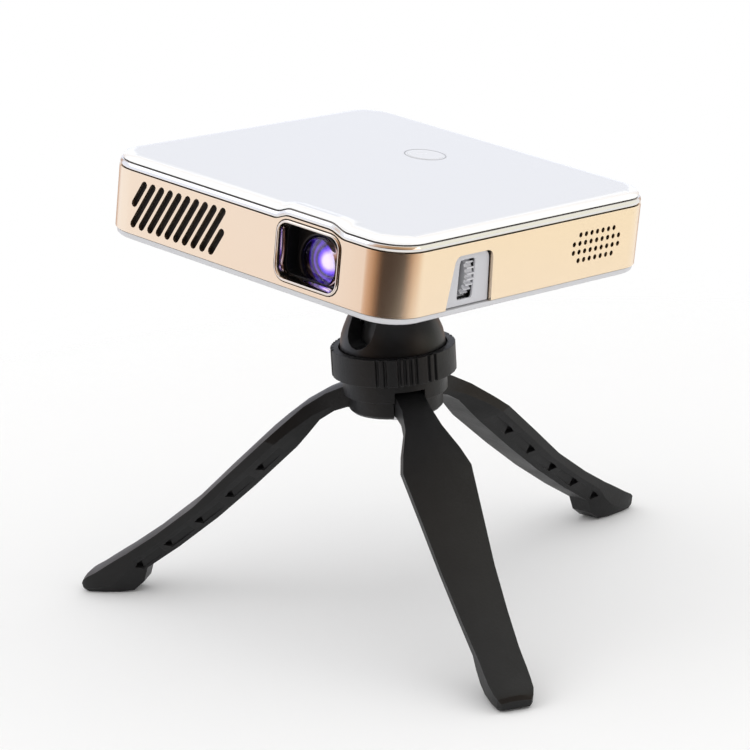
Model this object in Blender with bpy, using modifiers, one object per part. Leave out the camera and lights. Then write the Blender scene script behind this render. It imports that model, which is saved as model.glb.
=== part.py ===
"""Square pocket projector on a mini ball-head tripod, as separate solid pieces.

All sizes are in millimetres and are turned into metres as each mesh is made.
The tripod stands on z = 0. The projector's pieces are placed in the case's own
frame (origin at the centre of the band's lower edge, lens facing -Y), which
hangs on the ball head and leans with it.
"""

import math

import bmesh
import bpy
from mathutils import Matrix, Vector

for old in list(bpy.data.objects):
    bpy.data.objects.remove(old, do_unlink=True)

MM = 0.001
GAP = 0.3

# Case
CASE = 112.0
HALF = CASE / 2
CORNER = 11.4
BAND_LOW = 0.15
BAND_TOP = 18.1
BAND_WALL = 1.2
TRAY_LOW = -1.9
TRAY_FLOOR = -0.3
TRAY_RIM = 1.2
TRIM_LOW = 18.4
TRIM_TOP = 20.0
COVER_LOW = 20.3
COVER_TOP = 22.1
COVER_INSET = 0.9
COVER_ROUND = 4.0
BROW_X = (10.9, 16.2, 30.9, 37.0)
BROW_RISE = 1.6
BROW_FADE = 8.0
BROW_STEPS = 5
POST = 49.0
FOOT = 42.0

# Vents, lens window, speaker holes
VENT_PITCH = 3.43
VENT_WIDTH = 2.1
VENT_LOW, VENT_HIGH = 1.9, 16.3
VENT_LEAN = 7.0
VENT_FIRST = -45.9
VENT_SIDES = (-42.4, -8.0)
WINDOW = (12.4, 36.0, 1.65, 18.8)
WINDOW_CORNER = 4.0
SPEAKER_Y, SPEAKER_Z = 29.4, 9.55
SPEAKER_PITCH = 2.5
SPEAKER_HOLE = 0.78

# Lens and focus drive
LENS_X, LENS_Z = 24.2, 8.2
GEAR_MODULE = 0.5
WHEEL_TEETH, IDLER_TEETH, RING_TEETH = 30, 17, 30
GEAR_Y = (-25.9, -22.9)
SLOT_Y = (-28.6, -22.3)
SLOT_Z = (1.9, 13.1)

# Rear sockets: centre x, centre z, opening width and height
SOCKET_DEPTH = 11.0
HDMI = (-5.0, 9.2, 14.2, 4.7)
USB = (15.0, 9.2, 12.6, 5.2)
AUDIO = (-20.0, 8.8, 3.7)
POWER = (-32.0, 9.8, 5.7)
BUTTON = (32.0, 9.2, 3.2)

# Tripod
AXIS_Y = -22.127
BALL_Z = 78.1
BALL_R = 9.5
STEM_R = 3.5
PLATE_R = 14.0
PLATE_TOP = 21.9
MOUNT_X = 9.5
MOUNT_DROP = 26.0
TILT_LENS_UP = 4.7
TILT_SIDE_DOWN = 7.14
HEADING = 1.62
STUD_R = 3.05
SEAT_R = 9.9
NOTCH_WIDTH = 9.7
NOTCH_Z = 5.1
RING_R = 18.0
RING_TOP, RING_LOW = -1.5, -9.5
# Middles of the lock ring's grooves, in degrees from a field's middle, and the wide ribs' far sides
RIB_GROOVES = (-28.3, -21.0, -8.0, -2.7, 2.7, 8.0, 21.0, 28.3)
RIB_WIDE = {-21.0: -8.0, 8.0: 21.0}
RIB_CENTRE = -33.7
RIB_DEPTH = 0.8
HUB_R = 15.1
HUB_LOW_R = 13.6
LEG_PIN = (9.5, 61.7)
LEG_PIN_R = 1.2
LEG_WIDTH = 8.4
LEG_ANGLES = (210, 330, 90)

GEAR_MESH = GEAR_MODULE * (WHEEL_TEETH + IDLER_TEETH) / 2
IDLER_X = LENS_X + GEAR_MESH
WHEEL_X = IDLER_X + GEAR_MESH

parts = bpy.data.collections.new("pocket_projector")
cutters = bpy.data.collections.new("cutters")
bpy.context.scene.collection.children.link(parts)
bpy.context.scene.collection.children.link(cutters)
cutters.hide_render = True


# ---------------------------------------------------------------- materials


def material(name, colour, roughness, metallic=0.0):
    made = bpy.data.materials.new(name)
    made.use_nodes = True
    shader = made.node_tree.nodes["Principled BSDF"]
    shader.inputs["Base Color"].default_value = (*colour, 1.0)
    shader.inputs["Roughness"].default_value = roughness
    shader.inputs["Metallic"].default_value = metallic
    made.diffuse_color = (*colour, 1.0)
    return made


WHITE_GLOSS = material("white_gloss", (0.86, 0.86, 0.86), 0.15)
GOLD = material("gold_anodised", (0.85, 0.62, 0.42), 0.32, 1.0)
CHROME = material("chrome_trim", (0.78, 0.77, 0.76), 0.08, 1.0)
GREY = material("grey_plastic", (0.5, 0.5, 0.53), 0.45)
BLACK = material("black_plastic", (0.02, 0.02, 0.02), 0.5)
MATT_BLACK = material("matt_black", (0.01, 0.01, 0.01), 0.8)
STEEL = material("steel", (0.6, 0.6, 0.6), 0.3, 1.0)
BRASS = material("brass", (0.75, 0.55, 0.25), 0.3, 1.0)
ALUMINIUM = material("aluminium", (0.72, 0.73, 0.75), 0.4, 1.0)
MAGNESIUM = material("cast_magnesium", (0.3, 0.3, 0.31), 0.55, 1.0)
BOARD_GREEN = material("circuit_board", (0.03, 0.18, 0.08), 0.5)
BATTERY_BLUE = material("battery_wrap", (0.06, 0.15, 0.4), 0.4)
GLASS = material("coated_glass", (0.25, 0.18, 0.6), 0.03)
RUBBER = material("rubber", (0.03, 0.03, 0.03), 0.85)
NYLON = material("nylon", (0.75, 0.74, 0.7), 0.5)
TRIPOD_BLACK = material("tripod_plastic", (0.035, 0.035, 0.037), 0.6)


# ---------------------------------------------------------------- frames


def empty(name, place, turn=None, parent=None):
    """An empty at a joint's axis, which carries the pieces that move about it."""
    made = bpy.data.objects.new(name, None)
    parts.objects.link(made)
    made.parent = parent
    made.matrix_local = Matrix.Translation(Vector(place) * MM) @ (turn or Matrix.Identity(4))
    return made


lean = (
    Matrix.Rotation(math.radians(HEADING), 4, "Z")
    @ Matrix.Rotation(math.radians(-TILT_LENS_UP), 4, "X")
    @ Matrix.Rotation(math.radians(TILT_SIDE_DOWN), 4, "Y")
)
tripod_axis = empty("tripod_axis", (0, AXIS_Y, 0))
head_axis = empty("head_axis", (0, 0, BALL_Z), parent=tripod_axis)
ball_axis = empty("ball_axis", (0, 0, 0), lean, head_axis)
case_frame = empty("case_frame", (-MOUNT_X, 0, MOUNT_DROP), parent=ball_axis)


# ---------------------------------------------------------------- shapes


def place(name, mesh, finish, parent, at=(0, 0, 0), smooth=0.0):
    """Makes the object of a finished mesh. With smooth, edges sharper than that many degrees stay sharp."""
    made = bpy.data.objects.new(name, mesh)
    (parts if finish else cutters).objects.link(made)
    if finish:
        mesh.materials.append(finish)
    else:
        made.hide_render = True
        made.display_type = "WIRE"
    made.parent = parent
    made.location = Vector(at) * MM
    if smooth:
        mesh.shade_smooth()
        mesh.set_sharp_from_angle(angle=math.radians(smooth))
    return made


def mesh_of(name, shape):
    bmesh.ops.recalc_face_normals(shape, faces=shape.faces)
    mesh = bpy.data.meshes.new(name)
    shape.to_mesh(mesh)
    shape.free()
    return mesh


def block(name, size, at, finish=None, parent=case_frame, corner=0.0, steps=4):
    """A box, whose upright edges may be rounded."""
    shape = bmesh.new()
    bmesh.ops.create_cube(shape, size=1.0)
    bmesh.ops.scale(shape, vec=Vector(size) * MM, verts=shape.verts)
    if corner:
        upright = [e for e in shape.edges if abs(e.verts[0].co.z - e.verts[1].co.z) > size[2] * MM / 2]
        bmesh.ops.bevel(
            shape, geom=upright, offset=corner * MM, offset_type="OFFSET", segments=steps, profile=0.5, affect="EDGES"
        )
    return place(name, mesh_of(name, shape), finish, parent, at, 40 if corner else 0)


TURNS = {
    "X": Matrix.Rotation(math.radians(90), 4, "Y"),
    "Y": Matrix.Rotation(math.radians(-90), 4, "X"),
    "Z": Matrix.Identity(4),
}


def rod(name, radius, low, high, at, axis="Z", finish=None, parent=case_frame, steps=20):
    """A cylinder from low to high along its axis, which passes through the point at."""
    shape = bmesh.new()
    bmesh.ops.create_cone(
        shape,
        cap_ends=True,
        segments=steps,
        radius1=radius * MM,
        radius2=radius * MM,
        depth=(high - low) * MM,
        matrix=TURNS[axis] @ Matrix.Translation((0, 0, (low + high) / 2 * MM)),
    )
    return place(name, mesh_of(name, shape), finish, parent, at, 40)


def turned(name, profile, at, axis="Z", finish=None, parent=case_frame, steps=28, ring=False):
    """A turned piece. The profile of (radius, height) runs down its outer side; a ring's profile closes on itself."""
    mesh = bpy.data.meshes.new(name)
    count = len(profile)
    edges = [(i, i + 1) for i in range(count - 1)] + ([(count - 1, 0)] if ring else [])
    mesh.from_pydata([(r * MM, 0, z * MM) for r, z in profile], edges, [])
    made = place(name, mesh, finish, parent, at)
    made.rotation_mode = "QUATERNION"
    made.rotation_quaternion = TURNS[axis].to_quaternion()
    screw = made.modifiers.new("turn", "SCREW")
    screw.steps = screw.render_steps = steps
    screw.use_merge_vertices = True
    screw.merge_threshold = 0.00001
    screw.use_smooth_shade = True
    return made


def prism(name, outline, axis, low, high, finish=None, parent=case_frame, at=(0, 0, 0)):
    """A flat outline given a thickness along an axis. Along X the outline is (y, z), along Y it is (x, z)."""
    curve = bpy.data.curves.new(name, "CURVE")
    curve.dimensions = "2D"
    curve.fill_mode = "BOTH"
    curve.extrude = (high - low) / 2 * MM
    spline = curve.splines.new("POLY")
    spline.points.add(len(outline) - 1)
    spline.use_cyclic_u = True
    for point, (a, b) in zip(spline.points, outline):
        point.co = (a * MM, b * MM, 0, 1)
    guide = bpy.data.objects.new(name + "_outline", curve)
    cutters.objects.link(guide)
    graph = bpy.context.evaluated_depsgraph_get()
    flat = bpy.data.meshes.new_from_object(guide.evaluated_get(graph))
    bpy.data.objects.remove(guide)
    shape = bmesh.new()
    shape.from_mesh(flat)
    bmesh.ops.remove_doubles(shape, verts=shape.verts, dist=0.000001)
    stand = {
        "Z": Matrix.Identity(4),
        "Y": Matrix(((1, 0, 0, 0), (0, 0, 1, 0), (0, 1, 0, 0), (0, 0, 0, 1))),
        "X": Matrix(((0, 0, 1, 0), (1, 0, 0, 0), (0, 1, 0, 0), (0, 0, 0, 1))),
    }[axis]
    middle = Matrix.Translation((0, 0, (low + high) / 2 * MM))
    bmesh.ops.transform(shape, matrix=stand @ middle, verts=shape.verts)
    return place(name, mesh_of(name, shape), finish, parent, at)


def lofted(name, loops, finish, parent=case_frame, ring=False):
    """A skin over like-numbered loops of points: closed on itself as a ring, or with its two ends capped."""
    shape = bmesh.new()
    rows = [[shape.verts.new(Vector(point) * MM) for point in loop] for loop in loops]
    pairs = list(zip(rows, rows[1:])) + ([(rows[-1], rows[0])] if ring else [])
    for low, high in pairs:
        for i in range(len(low)):
            j = (i + 1) % len(low)
            shape.faces.new((low[i], low[j], high[j], high[i]))
    if not ring:
        shape.faces.new(rows[0])
        shape.faces.new(rows[-1])
    return place(name, mesh_of(name, shape), finish, parent, smooth=35)


def boolean(obj, operation, others):
    for other in others:
        step = obj.modifiers.new(operation.lower(), "BOOLEAN")
        step.operation = operation
        step.object = other
    return obj


def cut(obj, *others):
    return boolean(obj, "DIFFERENCE", others)


def join(obj, *others):
    return boolean(obj, "UNION", others)


# ---------------------------------------------------------------- outlines


def arc(x, z, radius, start, end, steps):
    """Points along an arc, from and to the given angles in degrees."""
    turns = [math.radians(start + (end - start) * i / steps) for i in range(steps + 1)]
    return [(x + radius * math.cos(t), z + radius * math.sin(t)) for t in turns]


def rounded(width, depth, radius, steps=5, centre=(0, 0)):
    """A rectangle with round corners, anticlockwise from its lower left corner."""
    x, y = width / 2 - radius, depth / 2 - radius
    corners = ((-x, -y, 180), (x, -y, 270), (x, y, 0), (-x, y, 90))
    return [p for cx, cy, a in corners for p in arc(centre[0] + cx, centre[1] + cy, radius, a, a + 90, steps)]


def capsule(x0, z0, x1, z1, width, steps=4):
    """A slot with round ends, from one end's centre to the other's."""
    angle = math.degrees(math.atan2(z1 - z0, x1 - x0))
    return arc(x1, z1, width / 2, angle - 90, angle + 90, steps) + arc(
        x0, z0, width / 2, angle + 90, angle + 270, steps
    )


def brow(x):
    """How far the front edge rises over the lens at x."""
    start, full, last, end = BROW_X
    share = max(min((x - start) / (full - start), (end - x) / (end - last), 1.0), 0.0)
    return BROW_RISE * share * share * (3 - 2 * share)


def case_loop(inset, z, lift=1.0):
    """The case's outline, moved in by inset, with its front edge lifted over the lens."""
    half = CASE / 2 - inset
    radius = max(CORNER - inset, 1.0)
    side = half - radius
    left = arc(-side, -side, radius, 180, 270, 8)
    start, full, last, end = BROW_X
    rise = [start + (full - start) * i / BROW_STEPS for i in range(BROW_STEPS + 1)]
    fall = [last + (end - last) * i / BROW_STEPS for i in range(BROW_STEPS + 1)]
    front = [(x, -half) for x in rise + fall]
    right = arc(side, -side, radius, 270, 360, 8)
    back = arc(side, side, radius, 0, 90, 8) + arc(-side, side, radius, 90, 180, 8)
    outline = left + front + right + back
    return [(x, y, z + (brow(x) * lift if y < -side else 0.0)) for x, y in outline]


def four_corners(reach):
    return [(x, y) for x in (-reach, reach) for y in (-reach, reach)]


def gear(teeth, module, tooth_half, root, tip):
    """A spur gear's outline: teeth tooth_half wide each side at the root, narrower at the tip."""
    pitch_radius = module * teeth / 2
    outline = []
    for i in range(teeth):
        centre = 2 * math.pi * i / teeth
        for radius, half in ((root, tooth_half), (tip, tooth_half * 0.6), (tip, -tooth_half * 0.6), (root, -tooth_half)):
            turn = centre - half / pitch_radius
            reach = pitch_radius + radius
            outline.append((reach * math.cos(turn), reach * math.sin(turn)))
    return outline


def turn_outline(outline, degrees):
    c, s = math.cos(math.radians(degrees)), math.sin(math.radians(degrees))
    return [(x * c - y * s, x * s + y * c) for x, y in outline]


# ---------------------------------------------------------------- case

side_band = lofted(
    "side_band",
    [
        case_loop(0.0, BAND_LOW, 0.0),
        case_loop(0.0, BAND_TOP),
        case_loop(BAND_WALL, BAND_TOP),
        case_loop(BAND_WALL, BAND_LOW, 0.0),
    ],
    GOLD,
    ring=True,
)


def vent_cutters():
    """Eleven leaning slots, whose first and last are cut short by the group's upright sides."""
    made = []
    low, high = VENT_LOW + VENT_WIDTH / 2, VENT_HIGH - VENT_WIDTH / 2
    left, right = VENT_SIDES
    for i in range(11):
        x_low = VENT_FIRST + i * VENT_PITCH
        x_high = x_low + VENT_LEAN
        z_low, z_high = low, high
        if x_low < left:
            z_low = low + (left - x_low) / VENT_LEAN * (high - low)
            x_low = left
        if x_high > right:
            z_high = high - (x_high - right) / VENT_LEAN * (high - low)
            x_high = right
        slot = capsule(x_low, z_low, x_high, z_high, VENT_WIDTH)
        made.append(prism(f"vent_cutter_{i}", slot, "Y", -HALF - 1, -HALF + 2))
    return made


def speaker_cutters():
    """Four rows of round holes: seven, nine, nine and seven."""
    made = []
    for row, count in enumerate((7, 9, 9, 7)):
        z = SPEAKER_Z + (1.5 - row) * SPEAKER_PITCH
        for i in range(count):
            y = SPEAKER_Y + (i - (count - 1) / 2) * SPEAKER_PITCH
            name = f"speaker_cutter_{row}_{i}"
            made.append(rod(name, SPEAKER_HOLE, HALF - 2, HALF + 1, (0, y, z), "X", steps=8))
    return made


x0, x1, z0, z1 = WINDOW
window_size = (x1 - x0, z1 - z0)
window_centre = ((x0 + x1) / 2, (z0 + z1) / 2)
window_gap = rounded(window_size[0] + 2 * GAP, window_size[1] + 2 * GAP, WINDOW_CORNER + GAP, 5, window_centre)
window_cutter = prism("window_cutter", window_gap, "Y", -HALF - 1, -HALF + 3)

FOCUS_OUTLINE = (
    [(-34.0, BAND_LOW)]
    + [(-15.5, BAND_LOW)]
    + arc(-18.9, 12.1, 2.5, 0, 90, 4)
    + arc(-29.3, 12.1, 2.5, 90, 180, 4)
)


def grown(outline, centre, by):
    """The outline moved outwards by about this much, away from its centre."""
    made = []
    for a, b in outline:
        away = Vector((a - centre[0], b - centre[1]))
        away += Vector((math.copysign(by, away.x), math.copysign(by, away.y)))
        made.append((centre[0] + away.x, centre[1] + away.y))
    return made


FOCUS_CENTRE = (-24.8, 7.0)
focus_gap = grown(FOCUS_OUTLINE, FOCUS_CENTRE, GAP)
focus_cutter = prism("focus_cutter", focus_gap, "X", HALF - 3, HALF + 1)

PANEL_SIZE = (82.0, 12.4)
PANEL_Z = 9.2
panel_gap = rounded(PANEL_SIZE[0] + 2 * GAP, PANEL_SIZE[1] + 2 * GAP, 2.3, 3, (0, PANEL_Z))
panel_cutter = prism("panel_cutter", panel_gap, "Y", HALF - 3, HALF + 1)
cut(side_band, window_cutter, focus_cutter, panel_cutter, *vent_cutters(), *speaker_cutters())

bottom_tray = lofted(
    "bottom_tray",
    [
        case_loop(1.3, TRAY_LOW, 0.0),
        case_loop(0.6, TRAY_LOW + 0.5, 0.0),
        case_loop(0.4, BAND_LOW - GAP, 0.0),
        case_loop(BAND_WALL + GAP, BAND_LOW - GAP, 0.0),
        case_loop(BAND_WALL + GAP, TRAY_RIM, 0.0),
        case_loop(2 * BAND_WALL + GAP, TRAY_RIM, 0.0),
        case_loop(2 * BAND_WALL + GAP, TRAY_FLOOR, 0.0),
    ],
    GREY,
)
rim_cutter = block("rim_cutter", (4, 19.8, 3), (HALF - 1.6, -24.75, 1.4))
insert_cutter = rod("insert_cutter", 4.9, -4, 2, (MOUNT_X, 0, 0))
cut(bottom_tray, rim_cutter, insert_cutter)
for i in range(9):
    grille = capsule(-44, 12 + 4 * i, -20, 12 + 4 * i, 2.0)
    cut(bottom_tray, prism(f"intake_cutter_{i}", grille, "Z", -4, 2))

top_cover = lofted(
    "top_cover",
    [case_loop(BROW_FADE + 1, COVER_LOW, 0.0), case_loop(COVER_INSET, COVER_LOW)]
    + [
        case_loop(
            COVER_INSET + COVER_ROUND * (1 - math.cos(a)),
            COVER_LOW + 0.4 + (COVER_TOP - COVER_LOW - 0.4) * math.sin(a),
            1.0 - 0.45 * (1 - math.cos(a)),
        )
        for a in (0, math.radians(30), math.radians(60), math.radians(90))
    ]
    + [case_loop(BROW_FADE, COVER_TOP, 0.0)],
    WHITE_GLOSS,
)
for i, (x, y) in enumerate(four_corners(POST)):
    post = rod(f"post_{i}", 2.6, 1.8, COVER_LOW + 0.5, (x, y, 0), steps=16)
    bore = rod(f"post_bore_{i}", 1.2, 1.0, 9.0, (x, y, 0), steps=12)
    join(top_cover, post)
    cut(top_cover, bore)
    head = rod(f"screw_seat_{i}", 2.5, -3.0, -0.9, (x, y, 0), steps=16)
    hole = rod(f"screw_hole_{i}", 1.2, -3.0, 3.0, (x, y, 0), steps=12)
    cut(bottom_tray, head, hole)
    screw = [(0, 8.0), (0.9, 8.0), (0.9, -1.2), (2.2, -1.2), (2.2, -1.8), (0, -1.8)]
    turned(f"case_screw_{i + 1}", screw, (x, y, 0), finish=STEEL, steps=14)

for i, (x, y) in enumerate(four_corners(FOOT)):
    recess = rod(f"foot_recess_{i}", 4.3, -3.0, -1.4, (x, y, 0))
    cut(bottom_tray, recess)
    pad = [(0, -1.7), (4.0, -1.7), (4.0, -2.4), (3.6, -2.7), (0, -2.7)]
    turned(f"rubber_foot_{i + 1}", pad, (x, y, 0), finish=RUBBER, steps=20)

trim_ring = lofted(
    "trim_ring",
    [
        case_loop(0.3, TRIM_LOW),
        case_loop(0.1, (TRIM_LOW + TRIM_TOP) / 2),
        case_loop(0.5, TRIM_TOP - 0.1),
        case_loop(0.9, TRIM_TOP),
        case_loop(1.8, TRIM_TOP),
        case_loop(1.8, TRIM_LOW),
    ],
    CHROME,
    ring=True,
)


# ---------------------------------------------------------------- lens window and focus insert


def window_loop(inset, y):
    """The lens window's outline, moved in by inset, at a depth."""
    outline = rounded(
        window_size[0] - 2 * inset, window_size[1] - 2 * inset, WINDOW_CORNER - inset, 5, window_centre
    )
    return [(x, y, z) for x, z in outline]


lofted(
    "lens_bezel",
    [
        window_loop(0.0, -HALF + 2.8),
        window_loop(0.0, -HALF - 0.2),
        window_loop(0.3, -HALF - 0.5),
        window_loop(0.7, -HALF - 0.5),
        window_loop(1.3, -HALF + 0.9),
        window_loop(1.3, -HALF + 2.8),
    ],
    CHROME,
    ring=True,
)

lens_hood = lofted(
    "lens_hood",
    [
        window_loop(0.7, -HALF + 3.1),
        window_loop(0.7, -HALF + 8.5),
        window_loop(3.4, -HALF + 8.5),
        window_loop(3.4, -HALF + 7.5),
        window_loop(1.6, -HALF + 7.5),
        window_loop(1.6, -HALF + 3.1),
    ],
    MATT_BLACK,
    ring=True,
)
mask = prism("lens_mask", [(p[0], p[2]) for p in window_loop(3.0, 0)], "Y", -HALF + 7.5, -HALF + 8.5)
bell_hole = rod("bell_hole", 8.3, -HALF + 4.0, -HALF + 10, (LENS_X, 0, LENS_Z), "Y", steps=32)
join(lens_hood, mask)
cut(lens_hood, bell_hole)

focus_bezel = prism("focus_bezel", FOCUS_OUTLINE, "X", HALF - 1.9, HALF - 0.2, GREY)
recess = grown(FOCUS_OUTLINE, FOCUS_CENTRE, -1.3)
recess_cutter = prism("recess_cutter", recess, "X", HALF - 1.1, HALF + 1)
slot_y, slot_z = sum(SLOT_Y) / 2, sum(SLOT_Z) / 2
slot_outline = rounded(SLOT_Y[1] - SLOT_Y[0], SLOT_Z[1] - SLOT_Z[0], 0.8, 3, (slot_y, slot_z))
slot_cutter = prism("slot_cutter", slot_outline, "X", HALF - 4, HALF + 1)
cut(focus_bezel, recess_cutter, slot_cutter)


# ---------------------------------------------------------------- lens and focus drive

BARREL = [
    (7.3, -50.5),
    (7.9, -50.5),
    (7.9, -45.0),
    (5.6, -43.5),
    (5.6, -12.0),
    (4.3, -12.0),
    (4.3, -43.0),
    (7.3, -46.0),
]
lens_barrel = turned(
    "lens_barrel", list(reversed(BARREL)), (LENS_X, 0, LENS_Z), "Y", MATT_BLACK, ring=True, steps=36
)
GLASS_R = 7.0
front_glass = [(0, -47.0), (GLASS_R, -47.8), (GLASS_R, -49.4)] + [
    (GLASS_R * math.cos(a), -49.4 - 1.7 * math.sin(a)) for a in (0.4, 0.8, 1.2)
]
front_glass.append((0, -51.1))
turned("front_lens", front_glass, (LENS_X, 0, LENS_Z), "Y", GLASS)


def focus_gear(name, teeth, x, bore, phase, finish):
    """A gear of the focus train, standing in the plane of the thumb wheel."""
    outline = turn_outline(gear(teeth, GEAR_MODULE, 0.34, -0.6, 0.36), phase)
    made = prism(name, outline, "Y", *GEAR_Y, finish, at=(x, 0, LENS_Z))
    hole = rod(name + "_bore", bore, GEAR_Y[0] - 1, GEAR_Y[1] + 1, (x, 0, LENS_Z), "Y", steps=24)
    return cut(made, hole)


focus_gear("focus_wheel", WHEEL_TEETH, WHEEL_X, 1.1, 360 / WHEEL_TEETH / 2, GREY)
focus_gear("idler_gear", IDLER_TEETH, IDLER_X, 1.1, 0, NYLON)
focus_gear("focus_ring", RING_TEETH, LENS_X, 5.95, 0, BRASS)
gear_bracket = block("gear_bracket", (22, 1.4, 12), (WHEEL_X - 6.7, -21.2, 6.0), STEEL)
for name, x in (("focus_axle", WHEEL_X), ("idler_axle", IDLER_X)):
    rod(name, 0.8, -26.8, -20.7, (x, 0, LENS_Z), "Y", STEEL, steps=14)
    cut(gear_bracket, rod(name + "_hole", 1.1, -23, -19, (x, 0, LENS_Z), "Y", steps=14))

optical_engine = block("optical_engine", (40, 38.5, 15.5), (24.2, 0.75, 8.75), MAGNESIUM)
engine_bore = rod("engine_bore", 6.0, -20, -9.5, (LENS_X, 0, LENS_Z), "Y", steps=28)
insert_room = rod("insert_room", 7.4, -1, 6.9, (MOUNT_X, 0, 0))
cut(optical_engine, engine_bore, insert_room)
block("led_module", (32, 5.6, 13), (24.2, 23.2, 8.5), ALUMINIUM)


# ---------------------------------------------------------------- cooling


def comb(width, height, base, fins, thickness):
    """A finned section: fins of this thickness standing on a base."""
    outline = [(-width / 2, 0), (width / 2, 0)]
    pitch = (width - thickness) / (fins - 1)
    for i in reversed(range(fins)):
        left = -width / 2 + i * pitch
        outline += [(left + thickness, height), (left, height)]
        if i:
            outline += [(left, base), (left - pitch + thickness, base)]
    return outline


prism("heat_sink", comb(37, 15, 1.6, 13, 1.0), "Y", -51.5, -37.5, ALUMINIUM, at=(-27, 0, 1.4))

fan_housing = block("fan_housing", (37, 36.5, 12), (-27, -18.5, 7.4), BLACK, corner=3)
fan_room = rod("fan_room", 15.0, -4.6, 8.5, (-27, -18.0, 7.4), steps=28)
fan_mouth = block("fan_mouth", (26, 12, 8.6), (-27, -34, 7.4))
cut(fan_housing, fan_room, fan_mouth)


def rotor(blades, hub, tip):
    """The outline of a hub with swept blades."""
    outline = []
    for i in range(blades):
        start = 2 * math.pi * i / blades
        for radius, sweep in ((hub, 0.0), (tip, 0.42), (tip, 0.34), (hub, -0.16)):
            outline.append((radius * math.cos(start - sweep), radius * math.sin(start - sweep)))
    return list(reversed(outline))


fan_rotor = prism("fan_rotor", rotor(11, 7.5, 13.6), "Z", -3.6, 4.0, BLACK, at=(-27, -18.0, 7.4))
fan_cap = rod("fan_cap", 7.6, -3.8, 4.4, (-27, -18.0, 7.4), steps=22)
join(fan_rotor, fan_cap)


# ---------------------------------------------------------------- power, board and sockets

block("battery_pack", (48, 21.5, 13.5), (-24, 15.4, 7.9), BATTERY_BLUE, corner=3)
block("main_board", (87, 25.8, 1.2), (-1.8, 40.4, 5.0), BOARD_GREEN)
block("touch_board", (32, 24, 1.0), (-4.5, 23.4, 18.0), BOARD_GREEN)
block("speaker", (8.4, 25, 14), (49.6, 29.4, 9.5), BLACK)
block("speaker_mesh", (0.3, 23, 12), (HALF - BAND_WALL - 0.5, 29.4, 9.5), MATT_BLACK)

SOCKET_FRONT = HALF - 1.7
rear_panel = prism(
    "rear_panel", rounded(*PANEL_SIZE, 2.0, 3, (0, PANEL_Z)), "Y", HALF - 1.6, HALF - 0.1, BLACK
)
panel_flange = prism(
    "panel_flange", rounded(85, 14.6, 2.0, 3, (0, PANEL_Z - 0.1)), "Y", HALF - 2.3, HALF - 1.5
)
join(rear_panel, panel_flange)


def socket(name, x, z, width, height, finish):
    """A plain rectangular socket: a shell with a hollow open to the rear."""
    front = SOCKET_FRONT - 0.9
    size = (width + 1.2, SOCKET_DEPTH, height + 1.2)
    made = block(name, size, (x, front - SOCKET_DEPTH / 2, z), finish)
    hollow = block(name + "_hollow", (width, SOCKET_DEPTH, height), (x, front - SOCKET_DEPTH / 2 + 1.2, z))
    window = block(name + "_window", (width + 0.8, 8, height + 0.8), (x, HALF, z))
    cut(made, hollow)
    cut(rear_panel, window)


def jack(name, x, z, bore, size, finish):
    """A round jack in a square body."""
    front = SOCKET_FRONT - 0.9
    low = 5.9
    made = block(name, (size, SOCKET_DEPTH, 2 * (z - low)), (x, front - SOCKET_DEPTH / 2, z), finish)
    cut(made, rod(name + "_bore", bore / 2, front - 9, front + 2, (x, 0, z), "Y", steps=16))
    cut(rear_panel, rod(name + "_window", bore / 2 + 0.4, HALF - 4, HALF + 2, (x, 0, z), "Y", steps=16))


socket("hdmi_socket", *HDMI, STEEL)
socket("usb_socket", *USB, STEEL)
jack("audio_jack", *AUDIO, 6.2, BLACK)
jack("power_jack", *POWER, 7.6, BLACK)

button_x, button_z, button_r = BUTTON
cut(rear_panel, rod("button_window", button_r + 0.35, HALF - 4, HALF + 2, (button_x, 0, button_z), "Y", steps=24))
button_profile = [
    (0, HALF + 0.5),
    (button_r - 0.4, HALF + 0.5),
    (button_r, HALF + 0.1),
    (button_r, HALF - 3.6),
    (0, HALF - 3.6),
]
turned("power_button", button_profile, (button_x, 0, button_z), "Y", BLACK, steps=24)


# ---------------------------------------------------------------- tripod head

insert = [
    (0, 6.3),
    (4.5, 6.3),
    (4.5, 1.6),
    (6.8, 1.6),
    (6.8, 0.0),
    (4.6, 0.0),
    (4.6, -1.8),
    (STUD_R + GAP, -1.8),
    (STUD_R + GAP, 5.2),
    (0, 5.2),
]
turned("tripod_insert", insert, (MOUNT_X, 0, 0), finish=BRASS, steps=24)

neck_angle = math.asin(STEM_R / BALL_R)
ball_stem = [
    (0, PLATE_TOP - 3.0),
    (STUD_R + GAP, PLATE_TOP - 3.0),
    (STUD_R + GAP, PLATE_TOP),
    (PLATE_R - 0.8, PLATE_TOP),
    (PLATE_R, PLATE_TOP - 0.8),
    (PLATE_R, PLATE_TOP - 3.0),
    (PLATE_R - 1.4, PLATE_TOP - 4.3),
    (STEM_R + 1.2, PLATE_TOP - 4.7),
    (STEM_R, PLATE_TOP - 5.8),
]
for i in range(12):
    angle = neck_angle + (math.pi - neck_angle) * i / 12
    ball_stem.append((BALL_R * math.sin(angle), BALL_R * math.cos(angle)))
ball_stem.append((0, -BALL_R))
turned("ball_stem", ball_stem, (0, 0, 0), finish=BLACK, parent=ball_axis, steps=28)
pad = [(STUD_R + 0.7, 22.2), (STUD_R + 0.7, 23.8), (13.2, 23.8), (13.2, 22.2)]
turned("rubber_pad", pad, (0, 0, 0), finish=RUBBER, parent=ball_axis, ring=True)
stud = [(0, 28.4), (STUD_R - 0.5, 28.4), (STUD_R, 27.9), (STUD_R, PLATE_TOP - 2.7), (0, PLATE_TOP - 2.7)]
turned("mount_stud", stud, (0, 0, 0), finish=STEEL, parent=ball_axis, steps=20)

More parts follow.
